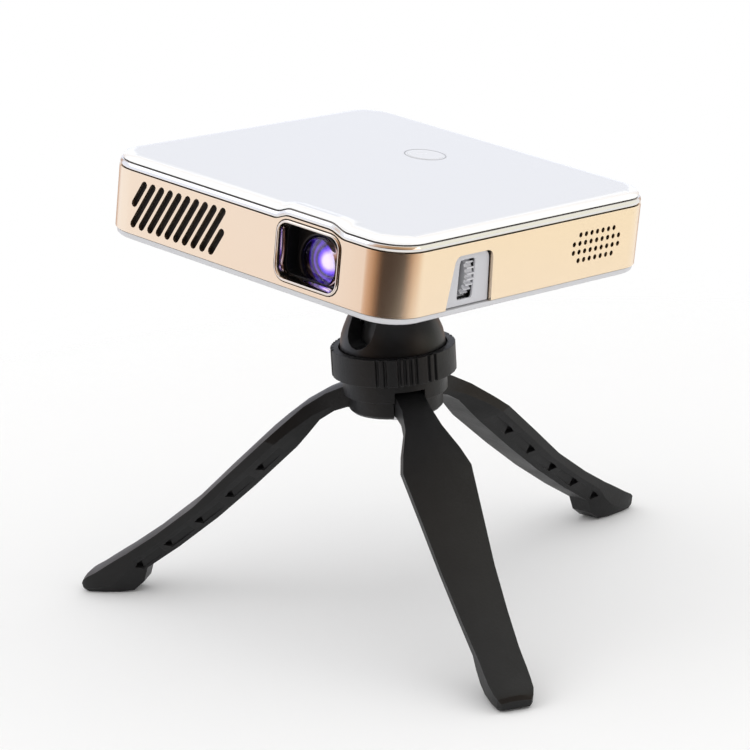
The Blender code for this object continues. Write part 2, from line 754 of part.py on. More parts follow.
dome = [(11.2, 9.8), (12.7, 7.0), (13.8, 4.6), (14.7, 2.2), (15.1, 0), (15.3, -1.6), (15.3, -3.2)]
for z in (-3.2, -1.0, 1.0, 3.0, 5.0):
    dome.append((math.sqrt(SEAT_R**2 - z * z), z))
dome.append((10.4, 9.8))
ball_dome = turned("ball_dome", dome, (0, 0, 0), finish=BLACK, parent=head_axis, steps=36, ring=True)
notch = prism(
    "notch_cutter", capsule(0, NOTCH_Z, 0, 20, NOTCH_WIDTH, 8), "Y", -20, -4, parent=head_axis
)
cut(ball_dome, notch)

seat = [(11.4, -3.5), (11.4, -11.2), (4.0, -11.2)]
for z in (-9.0, -7.5, -5.5, -3.5):
    seat.append((math.sqrt((SEAT_R + 0.1) ** 2 - z * z), z))
turned("ball_seat", seat, (0, 0, 0), finish=NYLON, parent=head_axis, ring=True)


def ribbed_ring(radius, fields, centre, depth):
    """The lock ring's outline: fields of grooves at RIB_GROOVES with plain stretches between."""
    outline = []
    for field in range(fields):
        middle = centre + 360 / fields * field
        for groove in RIB_GROOVES:
            for turn, reach in ((-1.7, 0), (-1.1, -depth), (1.1, -depth), (1.7, 0)):
                angle = math.radians(middle + groove + turn)
                outline.append(((radius + reach) * math.cos(angle), (radius + reach) * math.sin(angle)))
            if groove in RIB_WIDE:
                angle = math.radians(middle + groove + (RIB_WIDE[groove] - groove) / 2)
                outline.append((radius * math.cos(angle), radius * math.sin(angle)))
        plain_start = middle + RIB_GROOVES[-1]
        plain = 360 / fields - (RIB_GROOVES[-1] - RIB_GROOVES[0])
        for i in range(1, 6):
            angle = math.radians(plain_start + plain * i / 6)
            outline.append((radius * math.cos(angle), radius * math.sin(angle)))
    return outline


lock_outline = ribbed_ring(RING_R, 3, RIB_CENTRE, RIB_DEPTH)
lock_ring = prism("lock_ring", lock_outline, "Z", RING_LOW, RING_TOP, TRIPOD_BLACK, parent=head_axis)
ring_bore = rod("ring_bore", 14.0, RING_LOW - 1, RING_TOP + 1, (0, 0, 0), parent=head_axis, steps=36)
ring_mouth = rod("ring_mouth", 15.7, -3.6, RING_TOP + 1, (0, 0, 0), parent=head_axis, steps=36)
cut(lock_ring, ring_bore, ring_mouth)

hub_profile = [
    (0, -11.5),
    (11.8, -11.5),
    (11.8, -3.6),
    (13.6, -3.6),
    (13.6, -9.8),
    (HUB_R, -9.8),
    (HUB_R, -15.0),
    (HUB_LOW_R, -15.6),
    (HUB_LOW_R, -19.6),
    (HUB_LOW_R - 0.8, -20.4),
    (2.2, -20.4),
    (2.2, -14.0),
    (0, -14.0),
]
tripod_hub = turned("tripod_hub", hub_profile, (0, 0, 0), finish=TRIPOD_BLACK, parent=head_axis, steps=36)
cap = [(2.0, -20.7), (5.0, -20.7), (5.0, -21.5), (4.4, -22.0), (2.0, -22.0)]
turned("hub_cap", cap, (0, 0, 0), finish=BLACK, parent=head_axis, steps=20, ring=True)
hub_screw = [(0, -15.0), (1.6, -15.0), (1.6, -22.3), (3.2, -22.3), (3.2, -23.2), (2.6, -23.8), (0, -23.8)]
turned("hub_screw", hub_screw, (0, 0, 0), finish=STEEL, parent=head_axis, steps=16)


# ---------------------------------------------------------------- legs

# Upper edge (reach, height), lower edge (reach, height), half width above and below, side wall share
LEG_STATIONS = (
    ((10.5, 65.1), (10.5, 58.5), 4.2, 4.2, 0.8),
    ((15.0, 64.5), (13.6, 58.6), 4.2, 4.2, 0.8),
    ((20.0, 62.5), (17.6, 57.3), 4.2, 4.0, 0.75),
    ((26.5, 58.7), (22.0, 54.6), 5.4, 4.2, 0.6),
    ((33.0, 53.5), (26.0, 50.0), 8.4, 4.8, 0.4),
    ((37.5, 49.7), (29.0, 46.7), 10.0, 5.2, 0.34),
    ((49.7, 38.8), (42.4, 34.6), 8.8, 4.8, 0.32),
    ((61.3, 28.2), (54.7, 24.2), 7.7, 4.3, 0.32),
    ((74.0, 18.8), (67.4, 14.7), 6.8, 3.9, 0.34),
    ((83.7, 12.5), (78.0, 7.6), 6.2, 3.6, 0.38),
    ((87.1, 10.5), (79.4, 3.2), 6.1, 3.6, 0.45),
    ((90.5, 8.4), (82.7, 0.5), 6.1, 3.8, 0.5),
    ((93.8, 6.3), (87.1, 0.0), 6.0, 4.2, 0.6),
    ((96.5, 4.9), (92.9, 0.0), 5.7, 4.6, 0.7),
    ((98.0, 3.7), (96.6, 0.0), 5.1, 4.4, 0.7),
    ((98.7, 2.5), (98.2, 0.5), 4.3, 3.8, 0.7),
)
CROWN = 0.9


def leg_section(top, low, half, half_low, wall):
    """One section across the leg, as (reach, across, height) from its pin: crowned above, sides drawn in below."""
    top = Vector((top[0] - LEG_PIN[0], top[1] - LEG_PIN[1]))
    low = Vector((low[0] - LEG_PIN[0], low[1] - LEG_PIN[1]))
    out = (top - low).normalized() * CROWN * half / 10
    break_point = top.lerp(low, wall)
    across = [(-half, top), (-half * 0.5, top + out * 0.75), (0, top + out), (half * 0.5, top + out * 0.75)]
    across += [(half, top), (half, break_point), (half_low, low), (-half_low, low), (-half, break_point)]
    return [(point.x, side, point.y) for side, point in across]


for i, angle in enumerate(LEG_ANGLES):
    heading = Matrix.Rotation(math.radians(angle), 4, "Z")
    hinge_place = heading @ Vector((LEG_PIN[0], 0, LEG_PIN[1]))
    hinge = empty(f"leg_hinge_{i + 1}", hinge_place, heading, tripod_axis)
    leg = lofted(f"leg_{i + 1}", [leg_section(*station) for station in LEG_STATIONS], TRIPOD_BLACK, hinge)
    knuckle = rod(
        f"knuckle_{i}", 3.5, -LEG_WIDTH / 2 + 0.01, LEG_WIDTH / 2 - 0.01, (0, 0, 0), "Y", parent=hinge, steps=20
    )
    pin_hole = rod(f"pin_hole_{i}", LEG_PIN_R + GAP, -8, 8, (0, 0, 0), "Y", parent=hinge, steps=16)
    join(leg, knuckle)
    cut(leg, pin_hole)
    rod(f"leg_pin_{i + 1}", LEG_PIN_R, -7.2, 7.2, (0, 0, 0), "Y", STEEL, hinge, steps=16)
    slot = block(
        f"leg_slot_{i}", (14, LEG_WIDTH + 2 * GAP, 12), (3.1, 0, -1.6), parent=hinge
    )
    pin_seat = rod(f"pin_seat_{i}", LEG_PIN_R + GAP, -7.5, 7.5, (0, 0, 0), "Y", parent=hinge, steps=16)
    cut(tripod_hub, slot, pin_seat)
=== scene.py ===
"""Looks of a square pocket projector on a mini ball-head tripod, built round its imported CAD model."""

import math

import bpy
from mathutils import Matrix, Vector


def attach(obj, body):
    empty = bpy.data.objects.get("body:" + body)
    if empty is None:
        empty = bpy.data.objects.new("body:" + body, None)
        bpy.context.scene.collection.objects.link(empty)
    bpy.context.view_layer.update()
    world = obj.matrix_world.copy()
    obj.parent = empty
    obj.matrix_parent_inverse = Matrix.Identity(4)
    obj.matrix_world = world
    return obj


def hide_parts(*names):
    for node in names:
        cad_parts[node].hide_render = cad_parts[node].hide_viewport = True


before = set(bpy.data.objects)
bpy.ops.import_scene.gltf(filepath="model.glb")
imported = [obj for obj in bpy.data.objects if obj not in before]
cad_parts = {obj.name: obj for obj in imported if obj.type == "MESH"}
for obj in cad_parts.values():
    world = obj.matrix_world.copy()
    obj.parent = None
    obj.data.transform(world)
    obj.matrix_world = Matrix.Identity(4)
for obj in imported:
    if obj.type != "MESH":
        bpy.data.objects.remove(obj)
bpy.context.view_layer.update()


# ---------------------------------------------------------------- side band
# The wall of the case: one aluminium strip bent square, blasted fine and anodised champagne gold.
# Its vents, lens window, focus opening and speaker holes are milled, and each edge is broken.
# It drops over the tray's rim and is held down by the cover.

MM = 0.001
BALL = Vector((0, -22.127, 78.1)) * MM
# How the case stands on the ball: turn, nod and lean in degrees, then its offset in millimetres.
CASE_TURN, CASE_NOD, CASE_LEAN = 1.62, -4.7, 7.14
CASE_ASIDE, CASE_ABOVE = -9.5, 26
CASE = (
    Matrix.Translation(BALL)
    @ Matrix.Rotation(math.radians(CASE_TURN), 4, "Z")
    @ Matrix.Rotation(math.radians(CASE_NOD), 4, "X")
    @ Matrix.Rotation(math.radians(CASE_LEAN), 4, "Y")
    @ Matrix.Translation((CASE_ASIDE * MM, 0, CASE_ABOVE * MM))
)
WELD = 0.000004
FLAT_WITHIN = math.radians(0.6)


def leave():
    bpy.ops.object.mode_set(mode="OBJECT")


def alone(made):
    """Selects one object alone, in object mode."""
    if bpy.context.object and bpy.context.object.mode != "OBJECT":
        leave()
    bpy.ops.object.select_all(action="DESELECT")
    made.select_set(True)
    bpy.context.view_layer.objects.active = made


def edit(made, mode="VERT", chosen=None):
    """Goes into edit mode on one object, with only its chosen corners or faces selected."""
    alone(made)
    bpy.ops.object.mode_set(mode="EDIT")
    bpy.ops.mesh.select_mode(type=mode)
    bpy.ops.mesh.select_all(action="DESELECT")
    if chosen:
        leave()
        for element in made.data.polygons if mode == "FACE" else made.data.vertices:
            element.select = chosen(element)
        bpy.ops.object.mode_set(mode="EDIT")


def applied(made, kind, **settings):
    """Adds a modifier with these settings and applies it."""
    step = made.modifiers.new(kind.lower(), kind)
    for key, value in settings.items():
        setattr(step, key, value)
    alone(made)
    bpy.ops.object.modifier_apply(modifier=step.name)


def smoothed(made, angle):
    alone(made)
    bpy.ops.object.shade_smooth_by_angle(angle=math.radians(angle))
    applied(made, "WEIGHTED_NORMAL", keep_sharp=True, weight=80)


def welded(node):
    """A welded copy of a CAD piece, to be worked on in its place."""
    made = bpy.data.objects.new(node + "_finished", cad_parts[node].data.copy())
    bpy.context.scene.collection.objects.link(made)
    edit(made)
    bpy.ops.mesh.customdata_custom_splitnormals_clear()
    bpy.ops.mesh.select_all(action="SELECT")
    bpy.ops.mesh.remove_doubles(threshold=WELD)
    bpy.ops.mesh.dissolve_limited(angle_limit=FLAT_WITHIN)
    leave()
    return made


def broken(made, width, sharp=40, segments=2):
    """Breaks every edge sharper than an angle by a small round of this width in millimetres."""
    applied(
        made,
        "BEVEL",
        width=width * MM,
        segments=segments,
        limit_method="ANGLE",
        angle_limit=math.radians(sharp),
        use_clamp_overlap=True,
        harden_normals=False,
    )


def clothed(made, material, slot, body, *nodes):
    """Gives a piece its material and its body, and hides the CAD pieces it stands for; the slot is not
    used.
    """
    made.data.materials.clear()
    made.data.materials.append(material)
    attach(made, body)
    if nodes:
        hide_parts(*nodes)
    return made


def refinished(node, width, material, slot, body, sharp=40, segments=2, smooth=40):
    """Works one CAD piece over: welded, its sharp edges broken, smoothed and given its finish."""
    made = welded(node)
    broken(made, width, sharp, segments)
    smoothed(made, smooth)
    clothed(made, material, slot, body, node)


def group(name, inputs, outputs):
    """An empty shader node group with these number inputs and outputs."""
    tree = bpy.data.node_groups.new(name, "ShaderNodeTree")
    for label, value in inputs:
        socket = tree.interface.new_socket(label, in_out="INPUT", socket_type="NodeSocketFloat")
        socket.default_value = value
    for label in outputs:
        tree.interface.new_socket(label, in_out="OUTPUT", socket_type="NodeSocketFloat")
    return tree, tree.nodes.new("NodeGroupInput"), tree.nodes.new("NodeGroupOutput")


def feed(tree, value, socket):
    """Links an output to a socket, or sets the socket to a plain value."""
    if isinstance(value, bpy.types.NodeSocket):
        tree.links.new(value, socket)
    else:
        socket.default_value = value


def own_place(tree):
    return tree.nodes.new("ShaderNodeTexCoord").outputs["Object"]


def reckon(tree, operation, a, b, clamp=False):
    """One step of arithmetic on numbers."""
    node = tree.nodes.new("ShaderNodeMath")
    node.operation = operation
    node.use_clamp = clamp
    feed(tree, a, node.inputs[0])
    feed(tree, b, node.inputs[1])
    return node.outputs[0]


def reckon_vectors(tree, operation, a, b=(0, 0, 0)):
    """The number that comes from one step on vectors, such as a length or a dot product."""
    node = tree.nodes.new("ShaderNodeVectorMath")
    node.operation = operation
    feed(tree, a, node.inputs[0])
    feed(tree, b, node.inputs[1])
    return node.outputs["Value"]


def noise(tree, vector, scale, detail):
    node = tree.nodes.new("ShaderNodeTexNoise")
    node.inputs["Detail"].default_value = detail
    tree.links.new(vector, node.inputs["Vector"])
    feed(tree, scale, node.inputs["Scale"])
    return node.outputs[0]


def blend(tree, factor, a, b, way="MIX"):
    """Mixes two colours, each an output or a plain colour."""
    node = tree.nodes.new("ShaderNodeMix")
    node.data_type = "RGBA"
    node.blend_type = way
    feed(tree, factor, node.inputs["Factor"])
    feed(tree, a, node.inputs["A"])
    feed(tree, b, node.inputs["B"])
    return node.outputs["Result"]


def spread(tree, value, low, high, to_low=0.0, to_high=1.0, curve="LINEAR"):
    """Carries a value from one span over to another."""
    node = tree.nodes.new("ShaderNodeMapRange")
    node.interpolation_type = curve
    node.inputs["From Min"].default_value = low
    node.inputs["From Max"].default_value = high
    node.inputs["To Min"].default_value = to_low
    node.inputs["To Max"].default_value = to_high
    tree.links.new(value, node.inputs["Value"])
    return node.outputs["Result"]


# Grain: a fine and a finer noise for the bump, and a broad one for patches of sheen.
grain_tree, grain_in, grain_out = group(
    "surface_grain", (("Grain Scale", 2500.0), ("Patch Scale", 60.0)), ("Height", "Patch")
)
place = own_place(grain_tree)
coarse = noise(grain_tree, place, grain_in.outputs["Grain Scale"], 2.0)
finer = reckon(grain_tree, "MULTIPLY", grain_in.outputs["Grain Scale"], 2.7)
fine = noise(grain_tree, place, finer, 1.0)
mixed = reckon(grain_tree, "ADD", coarse, reckon(grain_tree, "MULTIPLY", fine, 0.5))
broad = noise(grain_tree, place, grain_in.outputs["Patch Scale"], 4.0)
grain_tree.links.new(mixed, grain_out.inputs["Height"])
grain_tree.links.new(broad, grain_out.inputs["Patch"])

# Edge: how near a point is to a sharp edge, broken up as wear is.
edge_tree, edge_in, edge_out = group(
    "worn_edge", (("Breakup Scale", 300.0), ("Amount", 1.0)), ("Edge",)
)
rounder = edge_tree.nodes.new("ShaderNodeBevel")
rounder.samples = 4
rounder.inputs["Radius"].default_value = 0.5 * MM
flat = edge_tree.nodes.new("ShaderNodeNewGeometry")
alike = reckon_vectors(edge_tree, "DOT_PRODUCT", rounder.outputs["Normal"], flat.outputs["Normal"])
near = reckon(edge_tree, "MULTIPLY", reckon(edge_tree, "SUBTRACT", 1.0, alike), 6.0, clamp=True)
patchy = noise(edge_tree, own_place(edge_tree), edge_in.outputs["Breakup Scale"], 4.0)
patchy = reckon(edge_tree, "MULTIPLY", patchy, 3.0)
patchy = reckon(edge_tree, "SUBTRACT", patchy, 0.9, clamp=True)
worn = reckon(edge_tree, "MULTIPLY", near, patchy)
worn = reckon(edge_tree, "MULTIPLY", worn, edge_in.outputs["Amount"])
edge_tree.links.new(worn, edge_out.inputs["Edge"])


def finish(
    name, colour, roughness, metallic=0.0, grain=2500.0, depth=0.00001, strength=0.2, sheen=0.06,
    patches=60.0, edge=None, wear=0.0, tone=0.03, coat=0.0, coat_roughness=0.05,
):
    """A procedural surface: varied colour, patchy roughness, grain, and worn edges."""
    made = bpy.data.materials.new(name)
    made.use_nodes = True
    tree = made.node_tree
    shader = tree.nodes["Principled BSDF"]
    shader.inputs["Metallic"].default_value = metallic
    shader.inputs["Coat Weight"].default_value = coat
    shader.inputs["Coat Roughness"].default_value = coat_roughness
    surface = tree.nodes.new("ShaderNodeGroup")
    surface.node_tree = grain_tree
    surface.inputs["Grain Scale"].default_value = grain
    surface.inputs["Patch Scale"].default_value = patches
    patch = surface.outputs["Patch"]
    low = [max(c * (1 - tone), 0.0) for c in colour]
    high = [min(c * (1 + tone), 1.0) for c in colour]
    shade = blend(tree, patch, (*low, 1.0), (*high, 1.0))
    if edge:
        worn_at = tree.nodes.new("ShaderNodeGroup")
        worn_at.node_tree = edge_tree
        worn_at.inputs["Amount"].default_value = wear
        shade = blend(tree, worn_at.outputs["Edge"], shade, (*edge, 1.0))
    tree.links.new(shade, shader.inputs["Base Color"])
    rough = spread(tree, patch, 0.3, 0.7, max(roughness - sheen, 0.02), roughness + sheen)
    tree.links.new(rough, shader.inputs["Roughness"])
    bump = tree.nodes.new("ShaderNodeBump")
    bump.inputs["Strength"].default_value = strength
    bump.inputs["Distance"].default_value = depth
    tree.links.new(surface.outputs["Height"], bump.inputs["Height"])
    tree.links.new(bump.outputs["Normal"], shader.inputs["Normal"])
    return made


gold = finish(
    "champagne_gold", (0.92, 0.75, 0.56), 0.22, 1.0, grain=3200, depth=0.00001, strength=0.16,
    sheen=0.015, edge=(0.98, 0.86, 0.72), wear=0.5, tone=0.012,
)
refinished("side_band", 0.14, gold, "gold", "projector", smooth=32)


# ---------------------------------------------------------------- vents and speaker mesh
# Behind the vents and the speaker holes lie thin black woven screens, glued to the band's inner face;
# they keep dust out. The sheet behind the vents is also
# painted shade: it stands in for the dark inside the case and makes every opening read as black.

screen_and_shade_black = finish(
    "screen_and_shade_black", (0.012, 0.012, 0.013), 0.7, grain=5200, depth=0.00006, strength=0.8
)


def started(name, kind, at, flat=(1, 1, 1), **sizes):
    """Adds a named primitive at a place in millimetres, flattened by these shares."""
    bpy.ops.object.select_all(action="DESELECT")
    getattr(bpy.ops.mesh, "primitive_" + kind + "_add")(location=at, **sizes)
    made = bpy.context.object
    made.name = made.data.name = name
    made.scale = [size * share for size, share in zip(made.scale, flat)]
    bpy.ops.object.transform_apply(location=True, rotation=True, scale=True)
    return made


def block(name, at, size, edge, segments=1):
    """A box with all its edges bevelled."""
    made = started(name, "cube", at, size=1, scale=size)
    edit(made, "EDGE")
    bpy.ops.mesh.select_all(action="SELECT")
    bpy.ops.mesh.bevel(offset=edge, segments=segments)
    leave()
    return made


def seated(made):
    """Sets a piece modelled in the case's own frame, in millimetres, in the leaning case."""
    made.data.transform(CASE @ Matrix.Scale(MM, 4))
    return made


# Painted shade: the black sheet behind the vents stands in for the dark inside the case.
vent_shade_screen = block("vent_screen_painted_shade", (-25.6, -54.35, 9.2), (42, 0.24, 15.2), 0.08)
clothed(seated(vent_shade_screen), screen_and_shade_black, "matt_black", "projector")
speaker_cloth = welded("speaker_mesh")
broken(speaker_cloth, 0.08, segments=1)
clothed(speaker_cloth, screen_and_shade_black, "matt_black", "projector", "speaker_mesh")


# ---------------------------------------------------------------- trim ring
# A bright plated ring that fills the joint between the band and the cover. It is clipped under the
# cover's edge and follows the raised brow over the lens.

bright_plating = finish(
    "bright_plating", (0.8, 0.79, 0.78), 0.1, 1.0, grain=1800, depth=0.000004, strength=0.05,
    sheen=0.025, edge=(0.95, 0.95, 0.95), wear=0.5, tone=0.01,
)
refinished("trim_ring", 0.1, bright_plating, "chrome", "projector", smooth=32)


# ---------------------------------------------------------------- top cover
# A white gloss moulding with a rounded edge, whose four posts take the case screws from below.
# The touch key in it is a thin grey ring round a pale disc, with the cover lying over its sensor.

gloss_white = finish(
    "gloss_white", (0.715, 0.715, 0.72), 0.2, grain=900, depth=0.000006, strength=0.05, sheen=0.03,
    patches=18, edge=(0.97, 0.97, 0.96), wear=0.2, tone=0.006, coat=0.6, coat_roughness=0.03,
)
# Painted highlight: the rounded rim is painted whiter than the flat panel, for the light it catches
# where the surface turns; the flat panel keeps the greyer white.
cover_tree = gloss_white.node_tree
cover_colour = cover_tree.nodes["Principled BSDF"].inputs["Base Color"]
facing = cover_tree.nodes.new("ShaderNodeTexCoord").outputs["Normal"]
level = reckon_vectors(cover_tree, "DOT_PRODUCT", facing, CASE.to_3x3() @ Vector((0, 0, 1)))
rim_highlight_share = spread(cover_tree, level, 0.9995, 0.99)
painted_rim_highlight = blend(cover_tree, rim_highlight_share, cover_colour.links[0].from_socket, (0.97, 0.97, 0.965, 1.0))
cover_tree.links.new(painted_rim_highlight, cover_colour)
refinished("top_cover", 0.12, gloss_white, "white_gloss", "projector", sharp=45)

KEY_AT = (-4.5, 23.4, 22.1)
key_grey = finish("key_grey", (0.4, 0.41, 0.43), 0.35, grain=1500, depth=0.000005, strength=0.1)
ring = started(
    "touch_ring", "torus", KEY_AT, flat=(1, 1, 0.35), major_radius=6.0, minor_radius=0.2,
    major_segments=96, minor_segments=10,
)
smoothed(ring, 60)
clothed(seated(ring), key_grey, "grey_plastic", "projector")

key_pale = finish(
    "key_pale", (0.74, 0.74, 0.75), 0.25, grain=1200, depth=0.000005, strength=0.08, coat=0.4
)
disc = started("touch_disc", "cylinder", KEY_AT, radius=5.2, depth=0.1, vertices=96)
edit(disc, "FACE", lambda face: face.normal.z > 0.9)
bpy.ops.mesh.inset(thickness=0.35)
bpy.ops.transform.translate(value=(0, 0, 0.03))
bpy.ops.mesh.inset(thickness=4.3)
bpy.ops.transform.translate(value=(0, 0, -0.06))
leave()
smoothed(disc, 40)
clothed(seated(disc), key_pale, "white_gloss", "projector")


# ---------------------------------------------------------------- bottom tray, feet and screws
# The floor of the case: a light grey moulding with an air intake grille, four round recesses for the
# self-adhesive rubber feet, and four countersunk holes for the steel screws.

tray_grey = finish(
    "tray_grey", (0.62, 0.62, 0.64), 0.38, grain=1400, depth=0.00003, strength=0.25,
    edge=(0.7, 0.7, 0.72), wear=0.4, tone=0.02,
)
refinished("bottom_tray", 0.12, tray_grey, "grey_plastic", "projector")

foot_rubber = finish(
    "foot_rubber", (0.022, 0.022, 0.022), 0.75, grain=1600, depth=0.00005, strength=0.5
)
for i in (1, 2, 3, 4):
    refinished(f"rubber_foot_{i}", 0.3, foot_rubber, "rubber", "projector", sharp=25, smooth=50)

plated_steel = finish(
    "plated_steel", (0.62, 0.62, 0.63), 0.28, 1.0, grain=1500, depth=0.00001, strength=0.15,
    edge=(0.85, 0.85, 0.85), wear=0.6,
)
SCREW_REACH = 49
RECESS_HEIGHT = -1.8
RECESS_ARMS = ((2.6, 0.55, 1.3), (0.55, 2.6, 1.3))


def cut(made, cutter):
    """Cuts one piece out of another and throws the cutter away."""
    applied(made, "BOOLEAN", operation="DIFFERENCE", object=cutter)
    bpy.data.objects.remove(cutter)


for i, (across, back) in enumerate(((-1, -1), (-1, 1), (1, -1), (1, 1)), 1):
    screw = welded(f"case_screw_{i}")
    head = (across * SCREW_REACH, back * SCREW_REACH, RECESS_HEIGHT)
    for arm in RECESS_ARMS:
        cut(screw, seated(started("recess_arm", "cube", head, size=1, scale=arm)))
    broken(screw, 0.08, segments=1)
    smoothed(screw, 40)
    clothed(screw, plated_steel, "steel", "projector", f"case_screw_{i}")


# ---------------------------------------------------------------- lens window
# A plated frame set in the band round a matt black hood. The lens sits back in its barrel. The violet
# and blue rings of its coatings and its bright centre are a painted reflection that glows, laid on the
# small element that lies deeper in the barrel.

warm_plating = finish(
    "warm_plating", (0.78, 0.7, 0.62), 0.13, 1.0, grain=1800, depth=0.000004, strength=0.06,
    sheen=0.02, edge=(0.9, 0.85, 0.8), wear=0.5, tone=0.02,
)
refinished("lens_bezel", 0.12, warm_plating, "chrome", "projector", sharp=25)
hood_black = finish(
    "hood_black", (0.003, 0.003, 0.004), 0.42, grain=2200, depth=0.00002, strength=0.25
)
refinished("lens_hood", 0.15, hood_black, "matt_black", "projector")
refinished("lens_barrel", 0.12, hood_black, "matt_black", "barrel")

LENS_ACROSS, LENS_UP = 24.2, 8.2
REAR_AT, FRONT_AT = -46.2, -49.4
GLOW_CENTRE = Vector((LENS_ACROSS + 1.2, -47.4, LENS_UP + 0.2)) * MM
GLOW_RADIUS = 7.8 * MM
# The rings of the painted, glowing reflection from the centre outwards: share of the radius, then the
# colour there.
GLOW_RINGS = (
    (0.0, (1.0, 0.97, 1.0)),
    (0.22, (0.95, 0.9, 1.0)),
    (0.34, (0.3, 0.15, 1.0)),
    (0.42, (0.06, 0.01, 0.6)),
    (0.5, (0.002, 0.001, 0.01)),
    (0.62, (0.12, 0.05, 0.5)),
    (0.69, (0.002, 0.001, 0.01)),
    (0.82, (0.03, 0.01, 0.22)),
    (0.9, (0.001, 0.001, 0.004)),
)


def tones(tree, value, stops):
    """Turns a value into a colour that runs through these stops."""
    node = tree.nodes.new("ShaderNodeValToRGB")
    while len(node.color_ramp.elements) < len(stops):
        node.color_ramp.elements.new(0.5)
    for element, (at, colour) in zip(node.color_ramp.elements, stops):
        element.position = at
        element.color = (*colour, 1.0)
    tree.links.new(value, node.inputs["Fac"])
    return node.outputs["Color"]


# Painted reflection: the rear element glows in rings of white, violet and blue that stand in for its
# coatings' reflections.
painted_lens_glow = bpy.data.materials.new("painted_lens_glow")
painted_lens_glow.use_nodes = True
rear_tree = painted_lens_glow.node_tree
rear_shader = rear_tree.nodes["Principled BSDF"]
rear_shader.inputs["Roughness"].default_value = 0.06
rear_shader.inputs["Coat Weight"].default_value = 1.0
rear_shader.inputs["Emission Strength"].default_value = 1.15
from_centre = reckon_vectors(rear_tree, "DISTANCE", own_place(rear_tree), CASE @ GLOW_CENTRE)
glow = reckon(rear_tree, "DIVIDE", from_centre, GLOW_RADIUS, clamp=True)
glow = tones(rear_tree, glow, GLOW_RINGS)
rear_tree.links.new(glow, rear_shader.inputs["Base Color"])
rear_tree.links.new(glow, rear_shader.inputs["Emission Color"])
deep = started(
    "rear_element", "uv_sphere", (LENS_ACROSS, REAR_AT, LENS_UP), flat=(1, 0.18, 1), radius=6.7,
    segments=48, ring_count=24,
)
smoothed(deep, 60)
clothed(seated(deep), painted_lens_glow, "lens_glass", "barrel")

coated_glass = bpy.data.materials.new("coated_glass")
coated_glass.use_nodes = True
glass_tree = coated_glass.node_tree
glass_shader = glass_tree.nodes["Principled BSDF"]
glass_shader.inputs["Base Color"].default_value = (0.8, 0.74, 1.0, 1.0)
glass_shader.inputs["IOR"].default_value = 1.55
glass_shader.inputs["Transmission Weight"].default_value = 1.0
smear = spread(glass_tree, noise(glass_tree, own_place(glass_tree), 240.0, 5.0), 0.45, 0.8, 0.015, 0.12)
glass_tree.links.new(smear, glass_shader.inputs["Roughness"])
front = started(
    "front_glass", "uv_sphere", (LENS_ACROSS, FRONT_AT, LENS_UP), flat=(1, 0.235, 1), radius=7.1,
    segments=64, ring_count=32,
)
smoothed(front, 60)
clothed(seated(front), coated_glass, "lens_glass", "barrel", "front_lens")


# ---------------------------------------------------------------- focus insert and wheel
# A grey moulded insert with a scooped floor, through whose slot the thumb reaches the focus wheel.
# The wheel is a grey nylon gear that turns on a steel axle and drives the lens through an idler.

insert_grey = finish(
    "insert_grey", (0.56, 0.56, 0.59), 0.35, grain=1600, depth=0.00002, strength=0.2,
    edge=(0.8, 0.8, 0.82), wear=0.5,
)
refinished("focus_bezel", 0.25, insert_grey, "grey_plastic", "projector", segments=3)
refinished("focus_wheel", 0.08, insert_grey, "grey_plastic", "wheel", segments=1)


# ---------------------------------------------------------------- rear sockets and power button
# A black panel carries the rear sockets. Their steel shells are soldered to the main board, and each
# holds its tongue of contacts. The button is a black cap with a moulded ring-and-bar sign on it.

panel_black = finish(
    "panel_black", (0.02, 0.02, 0.021), 0.45, grain=1500, depth=0.00004, strength=0.35
)
satin_black = finish(
    "satin_black", (0.018, 0.018, 0.018), 0.38, grain=2200, depth=0.00002, strength=0.2,
    edge=(0.12, 0.12, 0.12), wear=0.4,
)
refinished("rear_panel", 0.15, panel_black, "black_plastic", "projector")
for node in ("hdmi_socket", "usb_socket"):
    refinished(node, 0.12, plated_steel, "steel", "projector")
for node in ("audio_jack", "power_jack"):
    refinished(node, 0.12, satin_black, "black_plastic", "projector")

TONGUE_DEPTH, TONGUE_THICK = 8.4, 1.1
CONTACT_DEPTH, CONTACT_THICK = 6.4, 0.16
contact_gold = finish(
    "contact_gold", (0.9, 0.68, 0.32), 0.22, 1.0, grain=1800, depth=0.000005, strength=0.1
)
for name, x, z, width, pins, pitch in (
    ("usb", 15.0, 10.4, 11.0, 4, 2.4),
    ("hdmi", -5.0, 9.2, 10.6, 9, 1.1),
):
    tongue = block(name + "_tongue", (x, 48.1, z), (width, TONGUE_DEPTH, TONGUE_THICK), 0.18, 2)
    smoothed(tongue, 40)
    clothed(seated(tongue), satin_black, "black_plastic", "projector")
    for i in range(pins):
        at = (x + (i - (pins - 1) / 2) * pitch, 48.6, z - 0.6)
        size = (pitch * 0.42, CONTACT_DEPTH, CONTACT_THICK)
        contact = block(f"{name}_contact_{i + 1}", at, size, 0.05)
        clothed(seated(contact), contact_gold, "brass", "projector")

